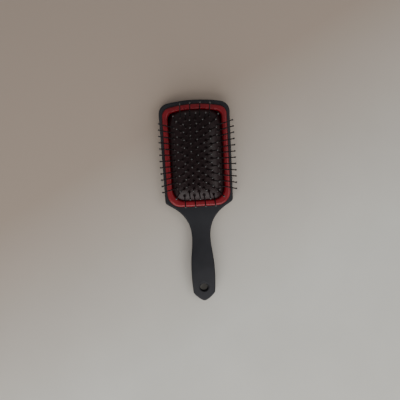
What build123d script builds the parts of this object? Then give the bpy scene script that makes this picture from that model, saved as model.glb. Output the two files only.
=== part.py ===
from build123d import *
from math import cos, radians, sin, sqrt
import os

# Paddle hair brush, lying on its back with the pins up.
# X runs across the paddle, +Y from the handle to the paddle's far end, +Z up.
# The origin is the centre of the footprint, on the surface the brush lies on.

# ---------------------------------------------------------------- body size
TIP_Y = -121.0            # end of the handle
TOP_Y = 121.0             # far end of the paddle
BODY_TOP = 13.5           # top of the paddle's rim
SPLIT_Z = 6.6             # joint between the two shells
WALL = 2.2                # shell wall
TOP_ROUND = 2.2           # rounding of the upper and lower edges
BACK_ROUND = 3.2
PAST_Z = 60.0             # height of shapes that only cut, past the whole brush
PAST_XY = 300.0           # and their width

# --------------------------------------------------------------- hang hole
HOLE_Y = -104.4
HOLE_R = 4.8
HOLE_RIM_R = 6.4          # wide end of the countersink on each face
HOLE_TUBE_R = 7.3         # tube moulded round the hole
HOLE_TOP_Z = 11.6         # faces of the handle at the hole
HOLE_BACK_Z = 1.3

# ----------------------------------------------------------- locating pegs
PEG_YS = (-92.0, -70.0, -48.0, -26.0)
PEG_R = 1.5
PEG_BOSS_R = 3.2
PEG_FIT = 0.05
PEG_REACH = 3.0           # peg above the joint between the shells
SOCKET_DEPTH = 4.0        # hole in the boss that takes the peg

# --------------------------------------------------------------- pad frame
FRAME_TOP = 15.9
FRAME_ROUND = 2.7
FIT_GAP = 0.15            # frame in its pocket
RUBBER_GAP = 0.3          # frame to cushion wall
RUBBER_WALL = 1.9         # upright wall of the cushion
LEDGE_Z = 9.2             # shelf that carries the cushion's flange
FLOOR_Z = 8.2             # floor of the air space
FLANGE_T = 1.6
FLANGE_INSET = 1.6        # pocket for the flange inside the frame's outer edge
FLANGE_FIT = 0.1

# -------------------------------------------------- stiffening of the back
RIB_T = 1.6
RIB_XS = (-24, -8, 8, 24)
RIB_YS = (10, 32, 54, 76, 98)
RIB_MARGIN = 3.0          # rim of the back shell inside the frame's outline

# ------------------------------------------------------------------ cushion
CROWN_Z = 25.5            # highest point of the rubber
RUBBER_T = 2.2
PAD_Y = 54.8              # middle of the cushion along the brush
PAD_HALF_X = 31.0
PAD_HALF_Y = 54.2
DROP_X = 5.4              # gentle fall from the crown to the side edges
DROP_Y = 4.5              # and to the ends
DROP_SHOULDER = 6.5       # extra fall at the rolled shoulder
ARCH_R = 150.0            # radius of the arched far end
VENT_R = 0.6
VENT_Y = 56.7

# --------------------------------------------------------------------- pins
PIN_LENGTH = 22.5         # rubber surface to the middle of the ball
PIN_ROOT_R = 0.82
PIN_NECK_R = 0.60
BALL_R = 1.1
HEAD_R = 1.6
HEAD_T = 0.8
HEAD_DEPTH = 3.9          # underside of the head below the rubber surface
HOLE_EASE = 0.06          # rubber round the shaft
PIN_HOLE_REACH = 6.0      # each way from the rubber surface
COLUMN_PITCH = 5.7
ROW_PITCH = 8.49
FIRST_ROW_Y = 15.4        # first staggered row, nearest the handle
FIELD_ROWS = 19           # rows half a pitch apart
FAN_X = 0.29              # sideways lean of a pin for each mm off the middle
FAN_Y = 0.035             # lengthways lean
SIDE_PINS = 12
SIDE_X = 26.3
SIDE_BOW = 0.02           # side rows curve in towards the corners
SIDE_Y = 52.5
SIDE_PITCH = 6.5
SIDE_LEAN = 16.5
SIDE_FAN = 0.1
END_COLUMNS = 4           # columns each side of the middle in the end rows
LOW_END_Y = 7.2
HIGH_END_Y = 100.6
LOW_LEANS = (11.5, 7.0)   # outermost row of the end, then the row before it
HIGH_LEANS = (12.5, 4.5)
CORNER_TURN = 35.0        # degrees by which the corner pins lean diagonally


def body_outline():
    """Plan view of the whole brush: V-shaped end, waisted handle, paddle."""
    heel = (13.0, -110.6)
    belly = (14.0, -90)
    grip = (13.1, -68)
    neck = (10.95, -43.5)
    waist = (14.55, -26)
    flare = (29.8, -8.4)
    shoulder = (40.4, -1.7)
    corner = (42.75, 115.6)
    with BuildSketch() as outline:
        with BuildLine():
            ThreePointArc((0, TIP_Y - 0.5), (7.7, -116.7), heel)
            Spline(heel, belly, grip, neck, waist, flare, tangents=[(0.1, 1), (0.84, 0.54)])
            Polyline(flare, shoulder, corner)
            ThreePointArc(corner, (21.2, 119.7), (0, TOP_Y))
            mirror(about=Plane.YZ)
        make_face()
        fillet(outline.vertices().sort_by(Axis.Y)[0], radius=4.5)
        heels = outline.vertices().filter_by_position(Axis.Y, -111, -110)
        fillet(heels, radius=4)
        shoulders = outline.vertices().filter_by_position(Axis.Y, -2, -1.5)
        fillet(shoulders, radius=5)
        corners = outline.vertices().filter_by_position(Axis.Y, 115.5, 116)
        fillet(corners, radius=12.8)
    return outline.sketch


def side_profile(inset=0.0):
    """Side view: flat-backed paddle, dipped neck, full grip, thin end."""
    with BuildSketch(Plane.YZ) as profile:
        with BuildLine():
            low = Spline(
                (TIP_Y - 2, 2.9 + inset),
                (-88, 0.7 + inset),
                (-43, 2.2 + inset),
                (-8, inset),
                tangents=[(1, -0.22), (1, 0)],
            )
            Line(low @ 1, (106, inset))
            rise = ThreePointArc((106, inset), (114, 0.9 + inset), (TOP_Y + 2, 3.4 + inset))
            Line(rise @ 1, (TOP_Y + 2, BODY_TOP - inset))
            Line((TOP_Y + 2, BODY_TOP - inset), (-10, BODY_TOP - inset))
            high = Spline(
                (-10, BODY_TOP - inset),
                (-43, 12.6 - inset),
                (-80, 14.8 - inset),
                (TIP_Y - 2, 8.2 - inset),
                tangents=[(-1, 0), (-1, -0.15)],
            )
            Line(high @ 1, low @ 0)
        make_face()
    return profile.sketch


def frame_outline(grow=0.0):
    """Plan view of the pad frame's outer edge, grown or shrunk evenly."""
    low_corner = (37.4, -5.2)
    high_corner = (38.6, 110.4)
    with BuildSketch() as outline:
        with BuildLine():
            ThreePointArc((0, -6.5), (20, -6.3), low_corner)
            Line(low_corner, high_corner)
            ThreePointArc(high_corner, (19.4, 114.4), (0, 115.8))
            mirror(about=Plane.YZ)
        make_face()
        low = outline.vertices().filter_by_position(Axis.Y, -5.5, -5)
        fillet(low, radius=16.5)
        high = outline.vertices().filter_by_position(Axis.Y, 110, 111)
        fillet(high, radius=10.5)
        if grow:
            offset(amount=grow, mode=Mode.REPLACE)
    return outline.sketch


def opening_outline(grow=0.0):
    """Plan view of the frame's opening, which the cushion rises through."""
    low_corner = (30.9, 1.3)
    high_corner = (32.0, 105.4)
    with BuildSketch() as outline:
        with BuildLine():
            ThreePointArc((0, 0.8), (15.6, 0.9), low_corner)
            Line(low_corner, high_corner)
            ThreePointArc(high_corner, (16.1, 108.0), (0, 108.9))
            mirror(about=Plane.YZ)
        make_face()
        low = outline.vertices().filter_by_position(Axis.Y, 1, 1.5)
        fillet(low, radius=14.5)
        high = outline.vertices().filter_by_position(Axis.Y, 105, 106)
        fillet(high, radius=7.5)
        if grow:
            offset(amount=grow, mode=Mode.REPLACE)
    return outline.sketch


def cushion_height(x, y):
    """Height of the rubber surface: a flat-topped dome with a rolled shoulder."""
    beyond = max(0.0, y - PAD_Y) / PAD_HALF_Y
    along = y - PAD_Y + beyond * beyond * x * x / (2 * ARCH_R)
    u = abs(x) / PAD_HALF_X
    v = abs(along) / PAD_HALF_Y
    end = max(0.0, abs(along) - (PAD_HALF_Y - PAD_HALF_X)) / PAD_HALF_X
    gentle = sqrt((DROP_X * u * u) ** 2 + (DROP_Y * v * v) ** 2)
    shoulder = DROP_SHOULDER * (u**5 + end**5)
    return CROWN_Z - gentle - shoulder


def cushion_surface(lowered=0.0):
    """Smooth face through a grid of surface heights, wider than the cushion."""
    columns = 25
    rows = 41
    reach = 1.04
    grid = []
    for i in range(columns):
        x = PAD_HALF_X * reach * (2 * i / (columns - 1) - 1)
        line = []
        for j in range(rows):
            y = PAD_Y + PAD_HALF_Y * reach * (2 * j / (rows - 1) - 1)
            line.append((x, y, cushion_height(x, y) - lowered))
        grid.append(line)
    return Face.make_surface_from_array_of_points(grid, tol=0.02, min_deg=3)


def prism(sketch, low, high):
    """Straight block over a plan outline, from one height to another."""
    with BuildPart() as block:
        extrude(Pos(0, 0, low) * sketch, amount=high - low, dir=(0, 0, 1))
    return block.part


def hole_mouth(surface):
    """Cone that countersinks the hang hole where it meets the surface."""
    depth = HOLE_RIM_R - HOLE_R
    with BuildPart() as mouth:
        with Locations((0, 0, surface - depth)):
            Cone(HOLE_R, HOLE_RIM_R + 4, depth + 4, align=(Align.CENTER, Align.CENTER, Align.MIN))
    return mouth.part


def pin_plane(x, y, lean_x, lean_y):
    """Plane on the rubber surface whose normal is the pin's own axis."""
    upright = sqrt(PIN_LENGTH**2 - lean_x**2 - lean_y**2)
    return Plane(origin=(x, y, cushion_height(x, y)), z_dir=(lean_x, lean_y, upright))


def field_row(index):
    """Planes of one row of the staggered field; the row bows with the frame."""
    staggered = index % 2 == 0
    columns = (-3, -1, 1, 3) if staggered else (-2, 0, 2)
    planes = []
    for column in columns:
        x = column * COLUMN_PITCH
        y = FIRST_ROW_Y + index * ROW_PITCH / 2
        y -= max(0.0, y - PAD_Y) / PAD_HALF_Y * x * x / (2 * ARCH_R)
        planes.append(pin_plane(x, y, FAN_X * x, FAN_Y * (y - PAD_Y)))
    return planes


def side_row(side):
    """Planes of the splayed pins along one long edge of the cushion."""
    planes = []
    for i in range(SIDE_PINS):
        along = i - (SIDE_PINS - 1) / 2
        y = SIDE_Y + along * SIDE_PITCH
        x = SIDE_X - SIDE_BOW * along * along
        planes.append(pin_plane(side * x, y, side * SIDE_LEAN, SIDE_FAN * along * SIDE_PITCH))
    return planes


def end_row(outer_y, direction, leans):
    """Planes of the last two staggered rows at one end of the cushion."""
    planes = []
    for column in range(-END_COLUMNS, END_COLUMNS + 1):
        inner = column % 2 == 0
        x = column * COLUMN_PITCH
        y = outer_y - direction * inner * ROW_PITCH / 2
        y -= max(0.0, y - PAD_Y) / PAD_HALF_Y * x * x / (2 * ARCH_R)
        turn = radians(CORNER_TURN) * int(column / END_COLUMNS)
        lean = leans[inner]
        planes.append(pin_plane(x, y, lean * sin(turn), direction * lean * cos(turn)))
    return planes


field = [field_row(index) for index in range(FIELD_ROWS)]
left_edge = side_row(-1)
right_edge = side_row(1)
handle_end = end_row(LOW_END_Y, -1, LOW_LEANS)
far_end = end_row(HIGH_END_Y, 1, HIGH_LEANS)

# -------------------------------------------------- shapes both shells share
with BuildPart() as solid_body:
    extrude(body_outline(), amount=PAST_Z, dir=(0, 0, 1))
    extrude(side_profile(), amount=PAST_Z, both=True, mode=Mode.INTERSECT)
    flat_edges = solid_body.edges().filter_by(lambda edge: abs(edge.tangent_at(0.5).Z) < 0.5)
    fillet(flat_edges.filter_by_position(Axis.Z, 10, 16), radius=TOP_ROUND)
    flat_edges = solid_body.edges().filter_by(lambda edge: abs(edge.tangent_at(0.5).Z) < 0.5)
    fillet(flat_edges.filter_by_position(Axis.Z, -1, 4.6), radius=BACK_ROUND)
    with Locations((0, HOLE_Y, 0)):
        Cylinder(HOLE_R, PAST_Z, mode=Mode.SUBTRACT)
        add(hole_mouth(HOLE_TOP_Z), mode=Mode.SUBTRACT)
        add(hole_mouth(HOLE_BACK_Z).mirror(Plane.XY.offset(HOLE_BACK_Z)), mode=Mode.SUBTRACT)

with BuildPart() as handle_hollow:
    with BuildSketch() as inside:
        with BuildLine():
            Line((0, -110.5), (10.3, -110.5))
            side = Spline(
                (10.3, -110.5),
                (11.6, -90),
                (10.9, -68),
                (8.3, -43.5),
                (11.4, -25.5),
                (24.5, -10.5),
                tangents=[(0.1, 1), (0.857, 0.515)],
            )
            Line(side @ 1, (0, -10.5))
            mirror(about=Plane.YZ)
        make_face()
        with Locations((0, HOLE_Y)):
            Circle(HOLE_TUBE_R, mode=Mode.SUBTRACT)
    extrude(inside.sketch, amount=PAST_Z, dir=(0, 0, 1))
    extrude(side_profile(inset=WALL), amount=PAST_Z, both=True, mode=Mode.INTERSECT)


def front_shell_part():
    """Upper shell: rim and pocket for the pad frame, hollow handle, peg bosses."""
    with BuildPart() as front_shell:
        add(solid_body.part)
        with Locations((0, 0, SPLIT_Z)):
            Box(
                PAST_XY,
                PAST_XY,
                PAST_Z,
                align=(Align.CENTER, Align.CENTER, Align.MIN),
                mode=Mode.INTERSECT,
            )
        add(handle_hollow.part, mode=Mode.SUBTRACT)
        add(prism(frame_outline(FIT_GAP), LEDGE_Z, PAST_Z), mode=Mode.SUBTRACT)
        add(prism(opening_outline(-RUBBER_GAP - RUBBER_WALL), FLOOR_Z, PAST_Z), mode=Mode.SUBTRACT)
        with Locations(*[(0, y, SPLIT_Z) for y in PEG_YS]):
            Cylinder(PEG_BOSS_R, BODY_TOP, align=(Align.CENTER, Align.CENTER, Align.MIN))
            Cylinder(PEG_R + PEG_FIT, 2 * SOCKET_DEPTH, mode=Mode.SUBTRACT)
        add(solid_body.part, mode=Mode.INTERSECT)
    return front_shell.part


def back_shell_part():
    """Lower shell: flat back, hollow with ribs, pegs that enter the front shell."""
    with BuildPart() as back_shell:
        add(solid_body.part)
        with Locations((0, 0, SPLIT_Z)):
            Box(
                PAST_XY,
                PAST_XY,
                PAST_Z,
                align=(Align.CENTER, Align.CENTER, Align.MAX),
                mode=Mode.INTERSECT,
            )
        add(handle_hollow.part, mode=Mode.SUBTRACT)
        with BuildSketch(Plane.XY.offset(WALL)) as under_pad:
            add(frame_outline(-RIB_MARGIN))
            for x in RIB_XS:
                with Locations((x, PAD_Y)):
                    Rectangle(RIB_T, PAST_XY, mode=Mode.SUBTRACT)
            for y in RIB_YS:
                with Locations((0, y)):
                    Rectangle(PAST_XY, RIB_T, mode=Mode.SUBTRACT)
        extrude(under_pad.sketch, amount=PAST_Z, dir=(0, 0, 1), mode=Mode.SUBTRACT)
        with Locations(*[(0, y, WALL) for y in PEG_YS]):
            Cylinder(PEG_BOSS_R, SPLIT_Z - WALL, align=(Align.CENTER, Align.CENTER, Align.MIN))
            Cylinder(
                PEG_R,
                SPLIT_Z - WALL + PEG_REACH,
                align=(Align.CENTER, Align.CENTER, Align.MIN),
            )
    return back_shell.part


def pad_frame_part():
    """Glossy ring with a rounded top; a rim outside the cushion's flange."""
    with BuildPart() as pad_frame:
        add(prism(frame_outline(), LEDGE_Z, FRAME_TOP))
        add(prism(opening_outline(), 0, PAST_Z), mode=Mode.SUBTRACT)
        fillet(pad_frame.edges().group_by(Axis.Z)[-1], radius=FRAME_ROUND)
        add(prism(frame_outline(-FLANGE_INSET), 0, LEDGE_Z + FLANGE_T), mode=Mode.SUBTRACT)
    return pad_frame.part


def rubber_block(lowered, grow):
    """Everything under the rubber surface, within the cushion's outline."""
    with BuildPart() as block:
        extrude(cushion_surface(lowered), amount=PAST_Z, dir=(0, 0, -1))
        add(prism(opening_outline(grow), LEDGE_Z, PAST_Z), mode=Mode.INTERSECT)
    return block.part


def cushion_part():
    """Hollow rubber dome with a flange, a hole for each pin and an air vent."""
    with BuildPart() as cushion:
        add(rubber_block(0, -RUBBER_GAP))
        add(prism(frame_outline(-FLANGE_INSET - FLANGE_FIT), LEDGE_Z, LEDGE_Z + FLANGE_T))
        add(rubber_block(RUBBER_T, -RUBBER_GAP - RUBBER_WALL), mode=Mode.SUBTRACT)
        for planes in all_rows:
            with Locations(*[Location(plane) for plane in planes]):
                Cylinder(PIN_ROOT_R + HOLE_EASE, 2 * PIN_HOLE_REACH, mode=Mode.SUBTRACT)
        with Locations((0, VENT_Y, 0)):
            Cylinder(VENT_R, PAST_Z, align=(Align.CENTER, Align.CENTER, Align.MIN), mode=Mode.SUBTRACT)
    return cushion.part


def pin_part():
    """One pin standing on the origin: flat head, tapered shaft, ball tip."""
    with BuildPart() as pin:
        with Locations((0, 0, -HEAD_DEPTH)):
            Cylinder(HEAD_R, HEAD_T, align=(Align.CENTER, Align.CENTER, Align.MIN))
            Cone(
                PIN_ROOT_R,
                PIN_NECK_R,
                PIN_LENGTH + HEAD_DEPTH,
                align=(Align.CENTER, Align.CENTER, Align.MIN),
            )
        with Locations((0, 0, PIN_LENGTH)):
            Sphere(BALL_R)
    return pin.part


all_rows = field + [left_edge, right_edge, handle_end, far_end]
os.makedirs("parts", exist_ok=True)

with BuildPart() as front_shell:
    add(front_shell_part())
front_shell.part.label = "front_shell"
export_step(front_shell.part, "parts/front_shell.step")

with BuildPart() as back_shell:
    add(back_shell_part())
back_shell.part.label = "back_shell"
export_step(back_shell.part, "parts/back_shell.step")

with BuildPart() as pad_frame:
    add(pad_frame_part())
pad_frame.part.label = "pad_frame"
export_step(pad_frame.part, "parts/pad_frame.step")

with BuildPart() as cushion:
    add(cushion_part())
cushion.part.label = "rubber_cushion"
export_step(cushion.part, "parts/rubber_cushion.step")

# Each row of pins is one node; every pin in it is a solid of its own.
pin = pin_part()


def export_pins(planes, label):
    """One row of pins, each standing on its own plane."""
    with BuildPart() as row:
        for plane in planes:
            add(plane.location * pin)
    row.part.label = label
    export_step(row.part, "parts/" + label + ".step")
    return row.part


for number, planes in enumerate(field, start=1):
    export_pins(planes, f"pin_row_{number:02d}")
export_pins(left_edge, "pins_left_edge")
export_pins(right_edge, "pins_right_edge")
export_pins(handle_end, "pins_handle_end")
export_pins(far_end, "pins_far_end")
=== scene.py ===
import math

import bmesh
import bpy
import numpy as np
from mathutils import Matrix, Vector


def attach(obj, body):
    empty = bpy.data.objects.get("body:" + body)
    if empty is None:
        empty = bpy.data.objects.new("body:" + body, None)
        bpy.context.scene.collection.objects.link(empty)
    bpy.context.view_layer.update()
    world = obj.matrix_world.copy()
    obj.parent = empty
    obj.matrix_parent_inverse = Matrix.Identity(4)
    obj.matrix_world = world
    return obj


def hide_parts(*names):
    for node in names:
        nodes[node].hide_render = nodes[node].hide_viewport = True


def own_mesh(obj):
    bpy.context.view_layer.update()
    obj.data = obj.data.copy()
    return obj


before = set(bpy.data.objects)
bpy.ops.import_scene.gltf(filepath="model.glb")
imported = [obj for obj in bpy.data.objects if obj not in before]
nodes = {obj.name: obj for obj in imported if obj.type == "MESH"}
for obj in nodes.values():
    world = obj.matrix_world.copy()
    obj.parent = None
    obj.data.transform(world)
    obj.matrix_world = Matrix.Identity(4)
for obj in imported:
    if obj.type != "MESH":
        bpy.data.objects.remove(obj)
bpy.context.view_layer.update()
MM = 0.001

# ------------------------------------------------------------------ sizes, mm
SEAM_Z = 6.6              # where the two shells meet
SEAM_HALF = 0.14          # half width of the groove there

CROWN_Z = 25.5            # highest point of the rubber
PAD_Y = 54.8              # middle of the cushion along the brush
PAD_HALF_X = 31.0
PAD_HALF_Y = 54.2
DROP_X = 5.4              # gentle fall from the crown to the side edges
DROP_Y = 4.5              # and to the ends
DROP_SHOULDER = 6.5       # extra fall at the rolled shoulder
ARCH_R = 150.0            # radius of the arched far end
FLANGE_Z = 10.8           # top of the cushion's flange, under the frame
WALL_FOOT_Z = 11.0        # lower edge of the skin's upright side
RUBBER_GAP = 0.3          # cushion inside the frame's opening

OPENING_X = 32.3          # box round the frame's opening
OPENING_LOW_Y = 0.5
OPENING_HIGH_Y = 109.1
EDGE_NEAR = 0.02          # how near a point of the frame's lower edge lies to FLANGE_Z
OUTLINE_STEP = 1.6        # between points of the skin's outline
RINGS = 64                # from the outline to the ridge in the middle
SPINE = 26.0              # half length of that ridge

HEAD_DEPTH = 3.9          # underside of a pin's head below the rubber surface
HEAD_T = 0.8
TIP_TO_HEAD = 25.5        # points of a pin further than this from its tip are its head
BALL_REACH = 2.3          # points nearer than this are its ball

# Rings of the collar round a pin's foot, from the rubber up and in: radius, lift.
COLLAR = [
    (2.1, -0.25),
    (1.75, 0.02),
    (1.45, 0.22),
    (1.25, 0.5),
    (1.14, 0.72),
    (1.02, 0.8),
    (0.86, 0.74),
]
COLLAR_SIDES = 20
COLLAR_TURN = 1.2         # radius over which the rings turn from the surface to the pin

# ------------------------------------------------------- floor and camera, metres
FLOOR_SIZE = 4
FLOOR_Z = -0.0002             # just clear of the back shell
FAR_LEFT = (-0.55, 1.0, 0)    # the way in which the paper gets deeper
TURN = math.radians(3.35)     # the brush lies turned by this in the picture
MIDDLE = (0.00095, 0.00075)   # point at the middle of the picture
MIDDLE_Z = 0.012
ASIDE = (-0.025, 0.039)       # where the lens stands, from that point
EYE_Z = 0.5
SENSOR = 36.0                 # mm
LENS = 36.75                  # mm


# -------------------------------------------------------------- node helpers
class Look:
    """A procedural material, built node by node."""

    def __init__(self, name):
        self.material = bpy.data.materials.new(name)
        self.material.use_nodes = True
        self.tree = self.material.node_tree
        self.shader = self.tree.nodes["Principled BSDF"]
        self.place = self.tree.nodes.new("ShaderNodeTexCoord").outputs["Object"]

    def set(self, **values):
        """Plain numbers straight onto the shader's own sockets."""
        for name, value in values.items():
            self.shader.inputs[name.replace("_", " ")].default_value = value

    def feed(self, **outs):
        """Node outputs into the shader's sockets."""
        for name, out in outs.items():
            self.link(out, self.shader.inputs[name.replace("_", " ")])

    def link(self, out, into):
        self.tree.links.new(out, into)

    def noise(self, scale, detail=4.0, roughness=0.5, stretch=None):
        """Fractal noise over the piece, from 0 to 1."""
        node = self.tree.nodes.new("ShaderNodeTexNoise")
        node.inputs["Scale"].default_value = scale
        node.inputs["Detail"].default_value = detail
        node.inputs["Roughness"].default_value = roughness
        source = self.place
        if stretch:
            mapping = self.tree.nodes.new("ShaderNodeMapping")
            mapping.inputs["Scale"].default_value = stretch
            self.link(self.place, mapping.inputs["Vector"])
            source = mapping.outputs["Vector"]
        self.link(source, node.inputs["Vector"])
        return node.outputs["Fac"]

    def spread(self, value, low, high, into_low, into_high):
        """value between low and high becomes into_low to into_high."""
        node = self.tree.nodes.new("ShaderNodeMapRange")
        node.inputs["From Min"].default_value = low
        node.inputs["From Max"].default_value = high
        node.inputs["To Min"].default_value = into_low
        node.inputs["To Max"].default_value = into_high
        self.link(value, node.inputs["Value"])
        return node.outputs["Result"]

    def colours(self, value, dark, light, low=0.35, high=0.65):
        """Colour that goes from dark to light as value goes from low to high."""
        ramp = self.tree.nodes.new("ShaderNodeValToRGB")
        ramp.color_ramp.elements[0].position = low
        ramp.color_ramp.elements[0].color = (*dark, 1)
        ramp.color_ramp.elements[1].position = high
        ramp.color_ramp.elements[1].color = (*light, 1)
        self.link(value, ramp.inputs["Fac"])
        return ramp.outputs["Color"]

    def mix(self, share, under, over):
        """One colour output with a plain colour laid over it by a share of 0 to 1."""
        node = self.tree.nodes.new("ShaderNodeMix")
        node.data_type = "RGBA"  # its colours are inputs 6 and 7, and output 2
        self.link(share, node.inputs[0])
        self.link(under, node.inputs[6])
        node.inputs[7].default_value = (*over, 1)
        return node.outputs[2]

    def band(self, height, half_width):
        """1 on a thin level line round the piece at a height, 0 elsewhere."""
        split = self.tree.nodes.new("ShaderNodeSeparateXYZ")
        self.link(self.place, split.inputs["Vector"])
        node = self.tree.nodes.new("ShaderNodeMath")
        node.operation = "COMPARE"
        self.link(split.outputs["Z"], node.inputs[0])
        node.inputs[1].default_value = height
        node.inputs[2].default_value = half_width
        return node.outputs["Value"]

    def bump(self, height, distance, strength=1.0, under=None):
        """Normal of a relief, over that of another relief if one is given."""
        node = self.tree.nodes.new("ShaderNodeBump")
        node.inputs["Distance"].default_value = distance
        node.inputs["Strength"].default_value = strength
        self.link(height, node.inputs["Height"])
        if under:
            self.link(under, node.inputs["Normal"])
        return node.outputs["Normal"]


def shell_look():
    """Soft-touch black plastic: fine leathery grain, rubbed patches, the seam of the shells."""
    look = Look("soft_touch_black")
    patches = look.noise(28, detail=5)
    scuffs = look.noise(150, detail=6, roughness=0.75, stretch=(1, 0.25, 1))
    grain = look.noise(2600, detail=2)
    waves = look.noise(60, detail=2)
    seam = look.band(SEAM_Z * MM, SEAM_HALF * MM)
    groove = look.spread(seam, 0, 1, 1, 0)
    skin = look.bump(grain, 0.00008, 0.5, look.bump(waves, 0.0004, 0.25))
    tone = look.colours(patches, (0.0205, 0.0210, 0.0245), (0.0280, 0.0285, 0.0330))
    rubbed_share = look.spread(scuffs, 0.62, 0.78, 0.0, 0.55)
    rubbed = look.mix(rubbed_share, tone, (0.040, 0.040, 0.043))
    look.feed(
        Base_Color=look.mix(seam, rubbed, (0.004, 0.004, 0.005)),
        Roughness=look.spread(patches, 0.3, 0.7, 0.70, 0.58),
        Normal=look.bump(groove, 0.0002, 1.0, skin),
    )
    look.set(IOR=1.45, Specular_IOR_Level=0.16)
    return look.material


def frame_look():
    """Glossy red moulded plastic, slightly wavy, with hairline scuffs."""
    look = Look("gloss_red")
    scuffs = look.noise(240, detail=6, roughness=0.7, stretch=(1, 1, 6))
    hairlines = look.noise(900, detail=3, stretch=(1, 0.06, 1))
    waves = look.noise(90, detail=2)
    look.feed(
        Base_Color=look.colours(waves, (0.180, 0.0038, 0.0095), (0.230, 0.0055, 0.0130)),
        Roughness=look.spread(scuffs, 0.4, 0.75, 0.30, 0.46),
        Normal=look.bump(waves, 0.0003, 0.3, look.bump(hairlines, 0.00002, 0.4)),
    )
    look.set(IOR=1.5, Specular_IOR_Level=0.36, Coat_Weight=0.08, Coat_Roughness=0.18)
    return look.material


def rubber_look():
    """Black rubber skin: dull sheen, fine pores, a little dust, and a red tint that is painted
    red bounce light from the frame.
    """
    look = Look("cushion_rubber")
    pores = look.noise(3200, detail=2)
    cloud = look.noise(45, detail=5)
    dust = look.noise(420, detail=5, roughness=0.7)
    # The red tint in this tone is painted red light bounced from the frame onto the black
    # rubber; the light and dark cloud patches are the rubber's own.
    tone = look.colours(cloud, (0.0110, 0.0016, 0.0024), (0.0160, 0.0044, 0.0056))
    dust_share = look.spread(dust, 0.60, 0.75, 0.0, 0.35)
    look.feed(
        Base_Color=look.mix(dust_share, tone, (0.030, 0.026, 0.027)),
        Roughness=look.spread(cloud, 0.3, 0.7, 0.30, 0.44),
        Normal=look.bump(pores, 0.00006, 0.5),
    )
    look.set(IOR=1.5, Specular_IOR_Level=0.32)
    return look.material


def pin_look():
    """Black nylon, polished by use."""
    look = Look("pin_nylon")
    cloud = look.noise(700, detail=3)
    look.feed(
        Base_Color=look.colours(cloud, (0.006, 0.005, 0.006), (0.011, 0.010, 0.011)),
        Roughness=look.spread(cloud, 0.3, 0.7, 0.16, 0.28),
    )
    look.set(IOR=1.55, Coat_Weight=0.6, Coat_Roughness=0.12)
    return look.material


def paper_look():
    """Plain pale paper, faintly mottled, warmer and deeper towards the far left."""
    look = Look("paper")
    cloud = look.noise(9, detail=4)
    fibre = look.noise(900, detail=3)
    slope = look.tree.nodes.new("ShaderNodeVectorMath")
    slope.operation = "DOT_PRODUCT"
    look.link(look.place, slope.inputs[0])
    slope.inputs[1].default_value = FAR_LEFT
    pale = look.colours(cloud, (0.635, 0.63, 0.585), (0.675, 0.67, 0.625))
    warmth = look.spread(slope.outputs["Value"], -0.17, 0.12, 0.0, 1.0)
    look.feed(
        Base_Color=look.mix(warmth, pale, (0.42, 0.34, 0.28)),
        Normal=look.bump(fibre, 0.0001, 0.4),
    )
    look.set(Roughness=0.85)
    return look.material


# ------------------------------------------------------------ cushion shape
def cushion_height(x, y):
    """Height of the rubber at a point, in mm: the same dome as the CAD solid."""
    beyond = max(0.0, y - PAD_Y) / PAD_HALF_Y
    along = y - PAD_Y + beyond * beyond * x * x / (2 * ARCH_R)
    u = abs(x) / PAD_HALF_X
    v = abs(along) / PAD_HALF_Y
    end = max(0.0, abs(along) - (PAD_HALF_Y - PAD_HALF_X)) / PAD_HALF_X
    gentle = math.hypot(DROP_X * u * u, DROP_Y * v * v)
    return CROWN_Z - gentle - DROP_SHOULDER * (u**5 + end**5)


def opening_outline(spacing):
    """Plan outline of the cushion in mm, read off the lower edge of the frame's opening."""
    corners = []
    for vert in nodes["pad_frame"].data.vertices:
        x, y, z = (value / MM for value in vert.co)
        on_edge = abs(z - FLANGE_Z) < EDGE_NEAR
        if on_edge and abs(x) < OPENING_X and OPENING_LOW_Y < y < OPENING_HIGH_Y:
            corners.append((round(x, 3), round(y, 3)))
    corners = sorted(set(corners), key=lambda p: math.atan2(p[1] - PAD_Y, p[0]))
    points = []
    for start, end in zip(corners, corners[1:] + corners[:1]):
        length = math.dist(start, end)
        steps = max(1, round(length / spacing))
        for k in range(steps):
            t = k / steps
            x = start[0] * (1 - t) + end[0] * t
            y = start[1] * (1 - t) + end[1] * t
            points.append(Vector((x, y)))
    outline = []
    for before, point, after in zip(points[-1:] + points, points, points[1:] + points[:1]):
        along = (after - before).normalized()
        outline.append(point + Vector((-along.y, along.x)) * RUBBER_GAP)
    return outline


def box_middle(points):
    """Middle of the box round some points."""
    return Vector(np.mean([np.min(points, axis=0), np.max(points, axis=0)], axis=0))


def pins_of(node):
    """(point on the axis at the rubber surface, axis) of each pin of a CAD row, in metres."""
    work = bmesh.new()
    work.from_mesh(node.data)
    bmesh.ops.remove_doubles(work, verts=work.verts, dist=1e-6)
    seen = set()
    out = []
    for vert in work.verts:
        if vert in seen:
            continue
        island = []
        stack = [vert]
        seen.add(vert)
        while stack:
            one = stack.pop()
            island.append(one.co.copy())
            for edge in one.link_edges:
                other = edge.other_vert(one)
                if other not in seen:
                    seen.add(other)
                    stack.append(other)
        cloud = np.array(island)
        by_height = cloud[cloud[:, 2].argsort()]
        top = Vector(by_height[-1])
        head = [p for p in cloud if (Vector(p) - top).length > TIP_TO_HEAD * MM]
        ball = [p for p in cloud if (Vector(p) - top).length < BALL_REACH * MM]
        foot = box_middle(head)
        axis = (box_middle(ball) - foot).normalized()
        out.append((foot + axis * (HEAD_DEPTH - HEAD_T / 2) * MM, axis))
    work.free()
    return out


def surface_normal(x, y):
    """Upward normal of the rubber at a point, in mm."""
    step = 0.05
    dx = (cushion_height(x + step, y) - cushion_height(x - step, y)) / (2 * step)
    dy = (cushion_height(x, y + step) - cushion_height(x, y - step)) / (2 * step)
    return Vector((-dx, -dy, 1)).normalized()


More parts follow.
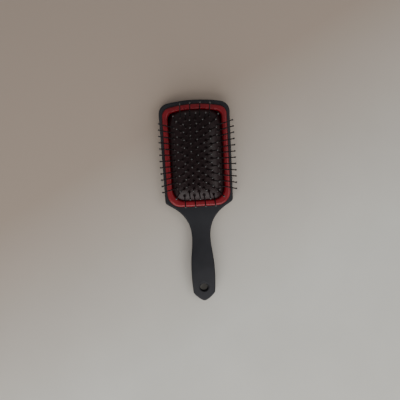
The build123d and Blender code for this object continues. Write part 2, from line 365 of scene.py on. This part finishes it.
def cushion_mesh(pins):
    """Dome skin with a rolled side, and a raised collar round the foot of each pin."""
    outline = opening_outline(OUTLINE_STEP)
    work = bmesh.new()

    def ring(points):
        return [work.verts.new(Vector(point) * MM) for point in points]

    def join(outer, inner):
        for i in range(len(outer)):
            j = (i + 1) % len(outer)
            work.faces.new((outer[i], outer[j], inner[j], inner[i]))

    loops = [ring([(x, y, WALL_FOOT_Z) for x, y in outline])]
    middles = [PAD_Y + (y - PAD_Y) * SPINE / PAD_HALF_Y for x, y in outline]
    for k in range(RINGS):
        share = 1 - k / RINGS
        loop = []
        for (x, y), middle in zip(outline, middles):
            px = x * share
            py = middle + (y - middle) * share
            loop.append((px, py, cushion_height(px, py)))
        loops.append(ring(loop))
    loops.append(ring([(0, middle, cushion_height(0, middle)) for middle in middles]))
    for outer, inner in zip(loops, loops[1:]):
        join(outer, inner)
    bmesh.ops.remove_doubles(work, verts=loops[-1], dist=1e-5)

    for foot, axis in pins:
        normal = surface_normal(foot.x / MM, foot.y / MM)
        rows = []
        for radius, lift in COLLAR:
            lean = min(1.0, (COLLAR[0][0] - radius) / COLLAR_TURN)
            turn = normal.lerp(axis, lean).to_track_quat("Z", "Y").to_matrix()
            row = []
            for s in range(COLLAR_SIDES):
                angle = 2 * math.pi * s / COLLAR_SIDES
                local = Vector((radius * math.cos(angle), radius * math.sin(angle), lift))
                row.append(foot / MM + turn @ local)
            rows.append(ring(row))
        for outer, inner in zip(rows, rows[1:]):
            join(outer, inner)

    bmesh.ops.recalc_face_normals(work, faces=work.faces)
    mesh = bpy.data.meshes.new("rubber_cushion_skin")
    work.to_mesh(mesh)
    work.free()
    mesh.shade_smooth()
    return mesh


def paint(node, material):
    """The one material of a piece."""
    node.data.materials.clear()
    node.data.materials.append(material)


# ------------------------------------------------------------------- pieces
pin_nodes = [node for name, node in sorted(nodes.items()) if name.startswith("pin")]
all_pins = [pin for node in pin_nodes for pin in pins_of(node)]
shell = shell_look()
paint(nodes["front_shell"], shell)
paint(nodes["back_shell"], shell)
paint(nodes["pad_frame"], frame_look())
nylon = pin_look()
for node in pin_nodes:
    paint(node, nylon)

cushion = bpy.data.objects.new("cushion_skin", cushion_mesh(all_pins))
bpy.context.scene.collection.objects.link(cushion)
paint(cushion, rubber_look())
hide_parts("rubber_cushion")
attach(cushion, "brush_body")
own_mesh(cushion)

# ------------------------------------------------------------ floor and light
bpy.ops.mesh.primitive_plane_add(size=FLOOR_SIZE, location=(0, 0, FLOOR_Z))
floor = bpy.context.object
floor.name = "floor"
floor.data.materials.append(paper_look())


def softbox(name, place, size, power, colour):
    """Rectangular light that faces the origin."""
    light = bpy.data.lights.new(name, "AREA")
    light.shape = "RECTANGLE"
    light.size, light.size_y = size
    light.energy = power
    light.color = colour
    holder = bpy.data.objects.new(name, light)
    bpy.context.scene.collection.objects.link(holder)
    holder.location = place
    holder.rotation_euler = (-Vector(place)).to_track_quat("-Z", "Y").to_euler()


softbox(
    "window",
    place=(-0.18, -1.08, 0.64),
    size=(2.2, 1.3),
    power=20.5,
    colour=(1.0, 0.985, 0.955),
)
softbox(
    "lamp",
    place=(0.8, -0.1, 0.9),
    size=(0.6, 0.6),
    power=2.5,
    colour=(1.0, 0.97, 0.93),
)

# Even light from all round, a little weaker straight above.
world = bpy.data.worlds.new("room")
world.use_nodes = True
sky = world.node_tree
facing = sky.nodes.new("ShaderNodeTexCoord")
split = sky.nodes.new("ShaderNodeSeparateXYZ")
ramp = sky.nodes.new("ShaderNodeValToRGB")
sky.links.new(facing.outputs["Generated"], split.inputs["Vector"])
sky.links.new(split.outputs["Z"], ramp.inputs["Fac"])
ramp.color_ramp.elements[0].color = (0.38, 0.38, 0.39, 1)
ramp.color_ramp.elements[1].color = (0.31, 0.305, 0.30, 1)
sky.links.new(ramp.outputs["Color"], sky.nodes["Background"].inputs["Color"])
bpy.context.scene.world = world

# ------------------------------------------------------------------- camera
# The lens looks straight down from beside the brush; the shift brings the brush
# back to the middle of the picture.
camera_data = bpy.data.cameras.new("camera")
camera_data.sensor_width = SENSOR
camera_data.lens = LENS
camera_data.clip_start = 0.01
camera = bpy.data.objects.new("camera", camera_data)
bpy.context.scene.collection.objects.link(camera)
turn = Matrix.Rotation(-TURN, 4, "Z")
eye = Vector((MIDDLE[0] + ASIDE[0], MIDDLE[1] + ASIDE[1], EYE_Z))
camera.matrix_world = Matrix.Translation(eye) @ turn
back = turn.inverted() @ Vector((-ASIDE[0], -ASIDE[1], 0))
reach = LENS / (SENSOR * (EYE_Z - MIDDLE_Z))
camera_data.shift_x = back.x * reach
camera_data.shift_y = back.y * reach
bpy.context.scene.camera = camera
